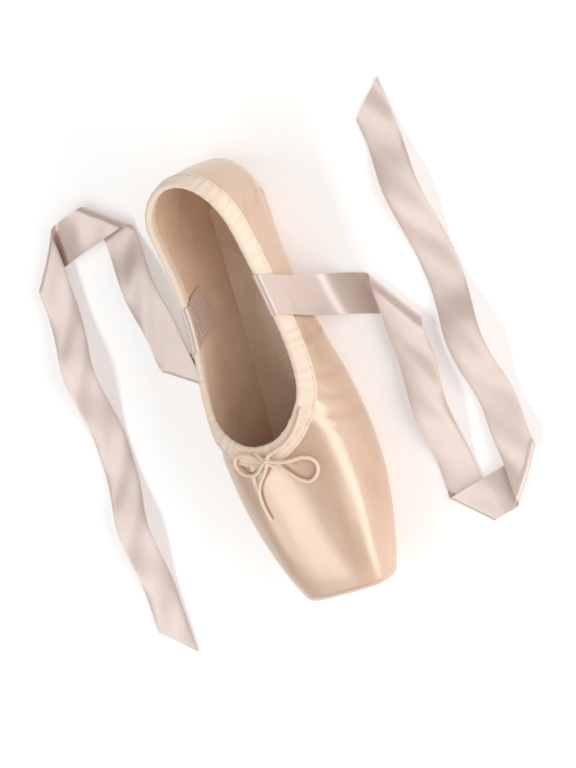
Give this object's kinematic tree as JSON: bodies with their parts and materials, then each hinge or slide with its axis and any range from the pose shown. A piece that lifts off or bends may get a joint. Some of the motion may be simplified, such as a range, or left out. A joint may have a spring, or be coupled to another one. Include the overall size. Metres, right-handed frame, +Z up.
{
  "type": "pointe shoe",
  "caption": "Satin pointe shoe with a flat platform at the toe, a hollow upper open at a bound collar, a thin sole, a tied drawstring and slack ribbons.",
  "frame": {"origin": "on the floor, under the middle of the ball of the foot, on the sole's flat spot", "axes": "+Z up, toe towards -Y, heel towards +Y, +X to the right for someone who looks from the toe's front towards the heel with +Z up"},
  "size_m": [0.2763, 0.265, 0.061],
  "materials": {
    "satin": "lustrous peach satin",
    "sole_leather": "matt, lightly brushed",
    "lining": "matt cotton twill",
    "tape": "matt woven cotton tape, lightly gathered",
    "string": "matt braided cotton",
    "ribbon": "lustrous satin on both faces"
  },
  "bodies": {
    "root": {"upper": "satin", "outsole": "sole_leather", "insole": "lining", "collar_binding": "tape", "drawstring_knot": "string", "drawstring_loop_left": "string", "drawstring_loop_right": "string", "drawstring_end_left": "string", "drawstring_end_right": "string", "ribbon_right": "ribbon", "ribbon_left": "ribbon"}
  },
  "joints": []
}
